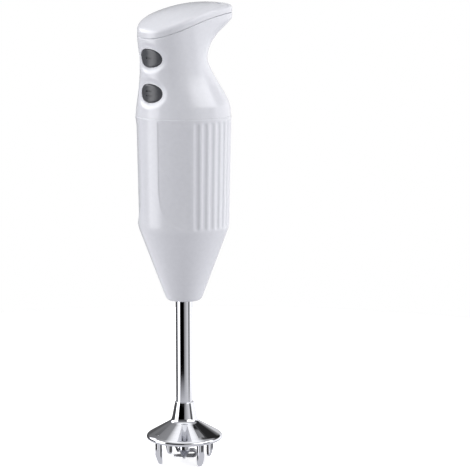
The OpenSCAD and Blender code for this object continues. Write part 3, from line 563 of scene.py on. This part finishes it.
def grip_ring(s, inset, angles, depth, drop=0.0):
    """Points of the grip at a share of its height. The rings tilt up towards the seam."""
    row = section(s)
    tilt = smooth((s - 0.195) / 0.805)
    ring = []
    for a in angles:
        x, y = outline(row, a, inset)
        z = SEAM_Z + s * GRIP_H + tilt * seam_rise(y) + drop
        ring.append(Vector((x, y + (dish(x, z, depth) if y < GRIP_CENTRE else 0), z)))
    return ring


def cover_ring(h, inset, angles, row):
    """Points of the cover at a height above the seam."""
    k = 1 - inset / COVER_INSET
    ring = []
    for a in angles:
        x, y0 = outline(row, a, 0)
        y = GRIP_CENTRE + (y0 - GRIP_CENTRE) * k
        ring.append(Vector((x * k, y, HEAD_Z + seam_rise(y) + h)))
    return ring


def inlet_z():
    """Height of the middle of the cord inlet, just above the seam in the end of the horn."""
    return HEAD_Z + seam_rise(HORN_REACH) + 0.8


def inlet_tool(name):
    """The stepped hole that the cord bushing sits in."""
    back = HORN_GROOVE - INLET_GROOVE_W
    steps = [(INLET_R, HORN_GROOVE - 3), (INLET_R, back), (INLET_GROOVE_R, back),
             (INLET_GROOVE_R, HORN_GROOVE), (INLET_R, HORN_GROOVE), (INLET_R, HORN_REACH + 3)]
    return mesh_of(name, turned(steps, 64, False, along_y(inlet_z())))


def post_z():
    """Height at which the screw posts of the grip and of the cover meet."""
    return HEAD_Z + seam_rise(SCREW_Y) - 0.8


def at_screws(name, profile, count=48):
    """The same turned shape at each of the two cover screws, one after the other."""
    for side in (-1, 1):
        at = Matrix.Translation((side * SCREW_X, SCREW_Y, 0))
        yield mesh_of(name, turned(profile, count, False, at))


def oval(w, h, count):
    """A rounded oval as (x, z) points."""
    return [(w / 2 * power(math.cos(t), 2 / 2.2), h / 2 * power(math.sin(t), 2 / 2.2))
            for t in (2 * math.pi * k / count for k in range(count))]


# ---------------------------------------------------------------- studio light

# brightness of the tent by the angle round it, in degrees from the camera, right positive:
# white box on the left, dark room behind the camera, grey and white boxes on the right
LOW_CARDS = [(-180, 0.10), (-98, 0.06), (-92, 2.40), (-63, 2.40), (-58, 0.00), (-2, 0.00),
             (3, 0.22), (30, 0.50), (58, 0.72), (62, 0.08), (80, 0.10), (86, 1.10), (150, 1.00),
             (165, 0.60), (180, 0.50)]
# the same, from about 16 to 38 degrees up the walls
HIGH_CARDS = [(-180, 0.10), (-142, 0.20), (-130, 3.70), (-78, 3.70), (-58, 0.10), (20, 0.10),
              (42, 3.00), (95, 3.00), (105, 0.20), (143, 0.02), (154, 0.02), (160, 0.22),
              (180, 0.25)]
# and from there to the white top, at about 62 degrees
UPPER_CARDS = [(-180, 0.10), (-150, 0.20), (-110, 0.4), (135, 0.4), (143, 0.02), (154, 0.02),
               (160, 0.22), (180, 0.25)]
# heights on the tent as sines of the angle above level, where one row gives way to the next
UNDER_EDGE = (-0.32, -0.26)
HIGH_EDGE = (0.22, 0.32)
UPPER_EDGE = (0.56, 0.66)
TOP_EDGE = (0.84, 0.92)
UNDER_COLOUR = (0.55, 0.55, 0.58, 1)
TOP_COLOUR = (0.95, 0.95, 0.96, 1)
TENT_STRENGTH = 1.25
TABLE_GLOW = 0.55
SOFTBOX_ACROSS = 1.2
SOFTBOX_UP = 1.6
SOFTBOX_WATTS = 0.3


# ---------------------------------------------------------------- operators

class BLENDER_OT_stage(bpy.types.Operator):
    """Camera, pale floor and soft studio light"""

    bl_idname = "hand_blender.stage"
    bl_label = "Stage"

    def execute(self, context):
        colours = context.scene.blender_colours
        self.camera(context)
        self.floor(colours)
        self.studio(context)
        return {"FINISHED"}

    def camera(self, context):
        turn = math.radians(CAMERA_TURN)
        towards = Vector((math.sin(turn), -math.cos(turn), 0))
        right = Vector((math.cos(turn), math.sin(turn), 0))
        data = bpy.data.cameras.new("camera")
        data.sensor_width = 36
        data.lens = CAMERA_LENS
        data.clip_start = 0.05
        data.clip_end = 20
        camera = bpy.data.objects.new("camera", data)
        camera.location = (towards * CAMERA_OUT + right * CAMERA_RIGHT
                           + Vector((0, 0, CAMERA_UP)))
        camera.rotation_euler = (math.radians(90 - CAMERA_TILT), 0, turn)
        context.scene.collection.objects.link(camera)
        context.scene.camera = camera
        context.scene.view_settings.view_transform = "Standard"

    def floor(self, colours):
        bm = bmesh.new()
        bmesh.ops.create_circle(bm, cap_ends=True, segments=128, radius=600)
        floor = mesh_of("studio_floor", bm)
        # opal acrylic table, matted and lit from below: pale and almost free of shadow
        board = surface("opal_acrylic_table", colours.floor, 0.7, ior=1.49, grain=4.0, tone=0.004,
                        relief=0.01)
        glow = board.node_tree.nodes["Principled BSDF"].inputs
        glow["Emission Color"].default_value = (1, 1, 1, 1)
        glow["Emission Strength"].default_value = TABLE_GLOW
        floor.data.materials.append(board)
        # the pieces are lit by the tent alone, whose floor is greyer than the table
        floor.visible_glossy = False
        floor.visible_diffuse = False

    def studio(self, context):
        """A white tent with dark cards, which polished steel needs to look like steel."""
        world = bpy.data.worlds.new("studio")
        context.scene.world = world
        world.use_nodes = True
        tree = world.node_tree
        tree.nodes.clear()
        place = add(tree, "ShaderNodeTexCoord")
        spun = add(tree, "ShaderNodeVectorRotate",
                   {"rotation_type": "Z_AXIS", "Angle": math.radians(-CAMERA_TURN)},
                   {"Vector": place.outputs["Generated"]})
        parts = add(tree, "ShaderNodeSeparateXYZ", {}, {"Vector": spun.outputs["Vector"]})
        back = add(tree, "ShaderNodeMath", {"operation": "MULTIPLY", 1: -1.0},
                   {0: parts.outputs["Y"]})
        around = add(tree, "ShaderNodeMath", {"operation": "ARCTAN2"},
                     {0: parts.outputs["X"], 1: back.outputs["Value"]})
        share = add(tree, "ShaderNodeMapRange",
                    {"From Min": -math.pi, "From Max": math.pi}, {"Value": around.outputs["Value"]})
        low = self.cards(tree, share, LOW_CARDS)
        high = self.cards(tree, share, HIGH_CARDS)
        upper = self.cards(tree, share, UPPER_CARDS)
        walls = self.stack(tree, parts, HIGH_EDGE, low, high)
        eaves = self.stack(tree, parts, UPPER_EDGE, walls, upper)
        room = self.stack(tree, parts, UNDER_EDGE, UNDER_COLOUR, eaves)
        tent = self.stack(tree, parts, TOP_EDGE, room, TOP_COLOUR)
        light = add(tree, "ShaderNodeBackground", {"Strength": TENT_STRENGTH}, {"Color": tent})
        plain = add(tree, "ShaderNodeBackground", {"Color": (1, 1, 1, 1), "Strength": 1.0})
        path = add(tree, "ShaderNodeLightPath")
        both = add(tree, "ShaderNodeMixShader", {},
                   {0: path.outputs["Is Camera Ray"], 1: light.outputs["Background"],
                    2: plain.outputs["Background"]})
        add(tree, "ShaderNodeOutputWorld", {}, {"Surface": both.outputs["Shader"]})
        lamp = bpy.data.lights.new("overhead_softbox", "AREA")
        lamp.shape = "DISK"
        lamp.size = SOFTBOX_ACROSS
        lamp.energy = SOFTBOX_WATTS
        above = bpy.data.objects.new("overhead_softbox", lamp)
        above.location = (0, 0, SOFTBOX_UP)
        context.scene.collection.objects.link(above)

    def stack(self, tree, parts, edge, below, above):
        """One colour below a soft edge at a height, and another above it."""
        share = add(tree, "ShaderNodeMapRange", {"From Min": edge[0], "From Max": edge[1]},
                    {"Value": parts.outputs["Z"]})
        settings, links = {"data_type": "RGBA"}, {0: share.outputs["Result"]}
        for socket, colour in ((6, below), (7, above)):
            (settings if isinstance(colour, tuple) else links)[socket] = colour
        return add(tree, "ShaderNodeMix", settings, links).outputs[2]

    def cards(self, tree, share, stops):
        """Colours round the tent, from brightness by angle."""
        ramp = add(tree, "ShaderNodeValToRGB", {}, {"Fac": share.outputs["Result"]})
        elements = ramp.color_ramp.elements
        while len(elements) > 1:
            elements.remove(elements[-1])
        for k, (angle, value) in enumerate(stops):
            stop = elements[0] if k == 0 else elements.new(angle / 360 + 0.5)
            stop.position = angle / 360 + 0.5
            stop.color = (value, value, value * 1.02, 1)
        return ramp.outputs["Color"]


class BLENDER_OT_finishes(bpy.types.Operator):
    """Makes every finish and puts one on each solid that shows as it is"""

    bl_idname = "hand_blender.finishes"
    bl_label = "Finishes"

    def execute(self, context):
        finishes = make_finishes(context.scene.blender_colours)
        for node, finish in SOLID_FINISH.items():
            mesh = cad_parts[node].data
            mesh.materials.clear()
            mesh.materials.append(finishes[finish])
        return {"FINISHED"}


class BLENDER_OT_cover(bpy.types.Operator):
    """The crowned lid of the head, with two screw wells and its half of the cord inlet"""

    bl_idname = "hand_blender.cover"
    bl_label = "Head cover"

    def execute(self, context):
        edge = context.scene.blender_sizes.seam_round / MM
        angles = grip_angles(168)
        row = section(1.0)
        steps = 44
        shares = [k / steps for k in range(steps + 1)]
        table = [(i / (len(COVER) - 1), h, inset) for i, (h, inset) in enumerate(COVER)]
        curve = [(curve_value(table, s, 1), curve_value(table, s, 2)) for s in shares]
        curve = [c for c in curve if c[0] > SEAM_GAP + edge]
        lip = [(SEAM_GAP, edge), (SEAM_GAP + edge * 0.3, edge * 0.3), (SEAM_GAP + edge, 0)]
        outer = [cover_ring(h, i, angles, row) for h, i in lip + curve]
        inner = [cover_ring(max(h - GRIP_WALL, SEAM_GAP), min(i + GRIP_WALL, COVER_INSET - 0.5),
                            angles, row) for h, i in reversed(COVER)]
        cover = mesh_of("cover_shell", lofted(inner + outer))
        z = post_z()
        boss = [(SCREW_POST_R, z), (SCREW_POST_R, z + COVER_H - 2.6)]
        for tool in at_screws("boss", boss):
            cut(cover, tool, "UNION")
        well = [(SCREW_HOLE_R, z - 1), (SCREW_HOLE_R, z + 3.4), (SCREW_HEAD_R, z + 3.4),
                (SCREW_HEAD_R, z + 14)]
        for tool in at_screws("well", well):
            cut(cover, tool)
        cut(cover, inlet_tool("inlet"))
        dress(cover, "housing", ["top_cover"], finish_named("moulded_abs"))
        return {"FINISHED"}


class BLENDER_OT_grip(bpy.types.Operator):
    """Neck and horn, with the dishes and openings of the two buttons"""

    bl_idname = "hand_blender.grip"
    bl_label = "Grip"

    def execute(self, context):
        sizes = context.scene.blender_sizes
        depth, edge = sizes.dish_depth / MM, sizes.seam_round / MM
        angles = grip_angles(192)
        steps = 150
        shares = [k / steps for k in range(steps + 1)]
        foot = edge * 0.6
        lip = [(0, foot, 0), (0, foot * 0.3, foot * 0.3)]
        lip += [(s, 0, 0) for s in shares[1:-1]]
        lip += [(1, 0, -edge), (1, edge * 0.3, -edge * 0.3), (1, edge, 0)]
        outer = [grip_ring(s, inset, angles, depth, drop) for s, inset, drop in lip]
        inner = [grip_ring(s, GRIP_WALL, angles, depth) for s in reversed(shares[::5])]
        grip = mesh_of("grip_shell", lofted(outer + inner, True))
        z = post_z()
        for tool in at_screws("post", [(SCREW_POST_R, z - 8.6), (SCREW_POST_R, z)]):
            cut(grip, tool, "UNION")
        for tool in at_screws("bore", [(SCREW_BORE_R, z - 6.6), (SCREW_BORE_R, z + 1)], 32):
            cut(grip, tool)
        for i in (1, 2):
            ring = oval(BUTTON_W + BUTTON_GAP, BUTTON_H + BUTTON_GAP, 96)
            rings = [[Vector((x, y, button_z(i) + h)) for x, h in ring]
                     for y in (-NECK_FRONT - 3, -NECK_FRONT + BUTTON_FLANGE_BACK + 1)]
            cut(grip, mesh_of("opening", lofted(rings)))
        cut(grip, inlet_tool("inlet"))
        dress(grip, "housing", ["grip_housing"], finish_named("moulded_abs"))
        return {"FINISHED"}


class BLENDER_OT_barrel(bpy.types.Operator):
    """Fluted barrel with its front strip and side panels, and the cone below it"""

    bl_idname = "hand_blender.barrel"
    bl_label = "Motor housing"

    # degrees from the front to the edge of the strip and to the first flute
    strip_half = 16.0
    flutes_from = 59.5
    flutes = 24

    def execute(self, context):
        sizes = context.scene.blender_sizes
        self.flute_depth, self.panel_depth = sizes.flute_depth / MM, sizes.panel_depth / MM
        turns = self.turns()
        profile = eased([
            (CONE_FOOT_R - 3.6, NOSE_Z, 0), (CONE_FOOT_R - 1.9, NOSE_Z, 1.2),
            (CONE_FOOT_R - 0.2, CONE_Z - 1.4, 2.0), (BARREL_FOOT_R + 0.25, BREAK_Z, 3.0),
            (BODY_R + 0.2, SEAM_Z - 0.3, 0.25), (BODY_R - 0.1, SEAM_Z, 0)], steps=6)
        outer = []
        for a, b in zip(profile, profile[1:]):
            pieces = max(1, int((b - a).length / (0.8 if a.y >= BREAK_Z - 5 else 3)))
            outer += [a.lerp(b, k / pieces) for k in range(pieces)]
        outer.append(profile[-1])
        rings = [[self.point(p.x, p.y, t) for t in turns] for p in outer]
        slope = (BARREL_FOOT_R - CONE_FOOT_R) / (BREAK_Z - CONE_Z)
        wall = WALL * math.hypot(1, slope)
        floor_z = NOSE_Z + 3.7
        collar = BODY_R - 3.4
        inside = [(collar, SEAM_Z), (collar, SEAM_Z + 3.6), (collar - 1.5, SEAM_Z + 3.6),
                  (collar - 1.5, SEAM_Z - 2.4), (BODY_R - WALL, SEAM_Z - 5),
                  (BARREL_FOOT_R - WALL, BREAK_Z),
                  (CONE_FOOT_R + (floor_z - CONE_Z) * slope - wall, floor_z),
                  (TUBE_R + 2.1, floor_z), (TUBE_R + 2.1, NOSE_Z)]
        rings += [[Vector((r * math.sin(t), -r * math.cos(t), z)) for t in turns]
                  for r, z in inside]
        barrel = mesh_of("barrel_shell", lofted(rings, True))
        dress(barrel, "housing", ["motor_housing"],
              finish_named("moulded_abs"), 40)
        return {"FINISHED"}

    def turns(self):
        """Angles from the front, in radians, with points on each crease and flute."""
        half = [self.strip_half * k / 12 for k in range(12)]
        half += [self.strip_half + d for d in (0, 0.25, 0.6, 1.0, 1.6)]
        side = self.flutes_from - self.strip_half - 1.6
        half += [self.strip_half + 1.6 + side * k / 34 for k in range(1, 34)]
        pitch = (360 - 2 * self.flutes_from) / self.flutes
        points = 14
        half += [self.flutes_from + pitch * k / points
                 for k in range(self.flutes // 2 * points + 1)]
        both = half + [360 - t for t in reversed(half) if 0 < t < 180]
        return [math.radians(t) for t in both]

    def point(self, r, z, turn):
        """Point of the outside, moved in by the flute or the side panel that it is on."""
        angle = math.degrees(turn)
        angle = min(angle, 360 - angle)
        r -= self.flute(angle, z) + self.panel(angle, z)
        return Vector((r * math.sin(turn), -r * math.cos(turn), z))

    def flute(self, angle, z):
        """How far a flute goes in. Flutes fade out at both ends of the barrel."""
        if angle < self.flutes_from:
            return 0.0
        pitch = (360 - 2 * self.flutes_from) / self.flutes
        across = abs((angle - self.flutes_from) / pitch % 1 - 0.5) * 2
        length = smooth((z - BREAK_Z + 0.2) / 2.6) * smooth((SEAM_Z - 1.7 - z) / 2.6)
        return self.flute_depth * (1 - smooth((across - 0.15) / 0.75)) * length

    def panel(self, angle, z):
        """The side panel: a step down from the strip, then a flatter side."""
        u = math.radians(angle - self.strip_half) * BARREL_FOOT_R
        full = math.radians(self.flutes_from - self.strip_half) * BARREL_FOOT_R
        if u <= 0 or u >= full:
            return 0.0
        wide, tall = full - 1.5, 29.0
        border = min(u, z - BREAK_Z + 0.5, SEAM_Z - 1.8 - z)
        if u < wide and z < BREAK_Z + tall:
            reach = math.hypot((wide - u) / wide, (BREAK_Z + tall - z) / tall)
            border = min(border, (1 - reach) * wide)
        share = u / full
        hollow = 0.5 * 4 * share * (1 - share) * smooth(border / 6)
        step = self.panel_depth * smooth(border / 0.7) * (1 - smooth((share - 0.8) / 0.2))
        return step + hollow


class BLENDER_OT_buttons(bpy.types.Operator):
    """The two speed buttons, with their moulded marks I and II"""

    bl_idname = "hand_blender.buttons"
    bl_label = "Speed buttons"

    def execute(self, context):
        deep = context.scene.blender_sizes.mark_depth / MM
        for i in (1, 2):
            button = self.button(i)
            rows = [0] if i == 1 else [-1.6, 1.6]
            for z in rows:
                cut(button, self.mark(button_z(i) + z, deep))
            dress(button, f"button_{i}", [f"speed_button_{i}"],
                  finish_named("satin_nylon"), 40)
        return {"FINISHED"}

    def front(self, x):
        """The face follows the round of the neck."""
        return -(NECK_FRONT - 0.2) + BUTTON_FACE_R - math.sqrt(BUTTON_FACE_R ** 2 - x * x)

    def button(self, i):
        count, zc = 96, button_z(i)
        flange = -(NECK_FRONT - BUTTON_FLANGE_BACK)
        stem = [(2 * math.cos(t), 2 * math.sin(t))
                for t in (2 * math.pi * k / count for k in range(count))]
        body = oval(BUTTON_W, BUTTON_H, count)
        wide = oval(BUTTON_W + 2, BUTTON_H + 2, count)
        flat = [(stem, flange + 2.8), (stem, flange + 1.2), (wide, flange + 1.2),
                (wide, flange), (body, flange)]
        rings = [[Vector((x, y, zc + z)) for x, z in ring] for ring, y in flat]
        crown = [(1.0, 1.1), (0.985, 0.55), (0.96, 0.24), (0.925, 0.08), (0.88, 0.0)]
        crown += [(k / 10, 0.0) for k in range(8, 0, -1)]
        for k, back in crown:
            rings.append([Vector((x * k, self.front(x * k) + back, zc + z * k))
                          for x, z in body])
        return mesh_of(f"speed_button_{i}_cap", lofted(rings))

    def mark(self, z, deep):
        """A short rounded bar that cuts the button's face."""
        ring = oval(6.0, 1.3, 32)
        rings = [[Vector((x, y, z + h)) for x, h in ring]
                 for y in (self.front(0) - 2, self.front(0) + deep)]
        return mesh_of("mark", lofted(rings))


class BLENDER_OT_bushing(bpy.types.Operator):
    """Rubber bushing in the end of the horn"""

    bl_idname = "hand_blender.bushing"
    bl_label = "Cord bushing"

    def execute(self, context):
        bore, neck, collar = 2.9, INLET_R - 0.05, INLET_GROOVE_R - 0.05
        back, mouth, end = HORN_GROOVE - INLET_GROOVE_W, HORN_REACH + 0.05, HORN_REACH + 1.3
        line = eased([(bore, back, 0.3), (collar, back, 0.3), (collar, HORN_GROOVE, 0.2),
                      (neck, HORN_GROOVE, 0.1), (neck, mouth, 0.1), (collar, mouth, 0.2),
                      (collar, end, 0.6), (bore, end, 0.5)], True)
        bushing = mesh_of("inlet_bushing", turned(line, 72, True, along_y(inlet_z())))
        dress(bushing, "housing", ["cord_bushing"],
              finish_named("moulded_nitrile"))
        return {"FINISHED"}


class BLENDER_OT_tube(bpy.types.Operator):
    """Polished shaft tube"""

    bl_idname = "hand_blender.tube"
    bl_label = "Shaft tube"

    def execute(self, context):
        low, high, bore = TUBE_BOX[0].z, TUBE_BOX[1].z, TUBE_R - 0.9
        line = eased([(TUBE_R, low, 0.2), (TUBE_R, high, 0.2), (bore, high, 0.2),
                      (bore, low, 0.2)], True)
        tube = mesh_of("tube_skin", turned(line, 128))
        dress(tube, "housing", ["shaft_tube"], finish_named("buffed_stainless"))
        return {"FINISHED"}


class BLENDER_OT_guard(bpy.types.Operator):
    """Splash guard: sleeve, cone, rolled rim and four tapered feet"""

    bl_idname = "hand_blender.guard"
    bl_label = "Splash guard"

    # of the first foot round the shaft, in degrees
    turn = -10.0

    def execute(self, context):
        guard = mesh_of("guard_bell", turned(self.profile(), 192))
        for k in range(4):
            foot = mesh_of("foot", self.foot(math.radians(self.turn + 90 * k)))
            cut(guard, foot, "UNION")
        dress(guard, "housing", ["guard_head"],
              finish_named("buffed_stainless"), 32)
        return {"FINISHED"}

    def outer(self, r):
        """Height of the outside of the cone at a radius."""
        return FOOT_LEN + 3.7 + (GUARD_R - 1.3 - r) * GUARD_FALL / GUARD_RUN

    def profile(self):
        """The turned line of the guard: up its inside, over the sleeve and down to the rim."""
        rim, top = FOOT_LEN, SLEEVE_TOP
        start = GUARD_R - 17.5
        drop = GUARD_WALL * math.hypot(1, GUARD_FALL / GUARD_RUN)
        return eased([
            (SHAFT_BORE_R, self.outer(start) - drop + 0.2, 0.2), (SHAFT_BORE_R, TUBE_BOX[0].z, 0),
            (TUBE_R, TUBE_BOX[0].z, 0), (TUBE_R, top, 0.1), (TUBE_R + 0.7, top, 0.35),
            (TUBE_R + 3.3, top - 13.3, 2.4), (start, self.outer(start), 1.2),
            (GUARD_R - 1.3, rim + 3.7, 1.0), (GUARD_R - 0.1, rim + 2.6, 0.8),
            (GUARD_R, rim + 1.0, 0.8), (GUARD_R - 0.9, rim, 0.5), (GUARD_R - 2, rim, 0.4),
            (GUARD_R - 2.4, self.outer(GUARD_R - 2.4) - drop, 0.8),
            (start, self.outer(start) - drop, 0.6)], True)

    def foot(self, turn):
        """One foot, as rounded sections from its rounded tip up into the cone."""
        rings = []
        for z, half in ((0, 0.5), (0.12, 1.0), (0.5, 1.5), (1.2, 1.95), (2.2, 2.25), (3.5, 2.42),
                        (5, 2.5), (7, 2.5), (12, 2.5), (self.outer(22.4) - 1.0, 2.5)):
            inner = FOOT_INSIDE + 0.3 * max(0, 1 - z / 0.5)
            outer = min(FOOT_OUTSIDE, 22.0 + (z - 0.5) * 2.4 / 6.5) if z > 0.5 else 21.5 + z
            mid, deep = (inner + outer) / 2, (outer - inner) / 2
            ring = []
            for k in range(40):
                t = 2 * math.pi * k / 40
                r = mid + deep * power(math.cos(t), 0.42)
                w = half * power(math.sin(t), 0.42)
                ring.append(Vector((r * math.cos(turn) - w * math.sin(turn),
                                    r * math.sin(turn) + w * math.cos(turn), z)))
            rings.append(ring)
        return lofted(rings)


class BLENDER_PT_panel(bpy.types.Panel):
    """Sizes, colours and pieces of the blender"""

    bl_label = "Hand Blender"
    bl_idname = "BLENDER_PT_panel"
    bl_space_type = "VIEW_3D"
    bl_region_type = "UI"
    bl_category = "Hand Blender"

    def draw(self, context):
        layout = self.layout
        for group in (context.scene.blender_sizes, context.scene.blender_colours):
            for name in group.__annotations__:
                layout.prop(group, name)
        for operator in STEPS:
            layout.operator(operator.bl_idname)


GROUPS = (BlenderSizes, BlenderColours)
STEPS = (BLENDER_OT_stage, BLENDER_OT_finishes, BLENDER_OT_cover, BLENDER_OT_grip,
         BLENDER_OT_barrel, BLENDER_OT_buttons, BLENDER_OT_bushing, BLENDER_OT_tube,
         BLENDER_OT_guard)


def register():
    for cls in GROUPS + STEPS + (BLENDER_PT_panel,):
        bpy.utils.register_class(cls)
    bpy.types.Scene.blender_sizes = bpy.props.PointerProperty(type=BlenderSizes)
    bpy.types.Scene.blender_colours = bpy.props.PointerProperty(type=BlenderColours)


def unregister():
    del bpy.types.Scene.blender_colours
    del bpy.types.Scene.blender_sizes
    for cls in reversed(GROUPS + STEPS + (BLENDER_PT_panel,)):
        bpy.utils.unregister_class(cls)


def main():
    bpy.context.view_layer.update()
    register()
    for operator in STEPS:
        group, name = operator.bl_idname.split(".")
        getattr(getattr(bpy.ops, group), name)()


if __name__ == "__main__":
    main()
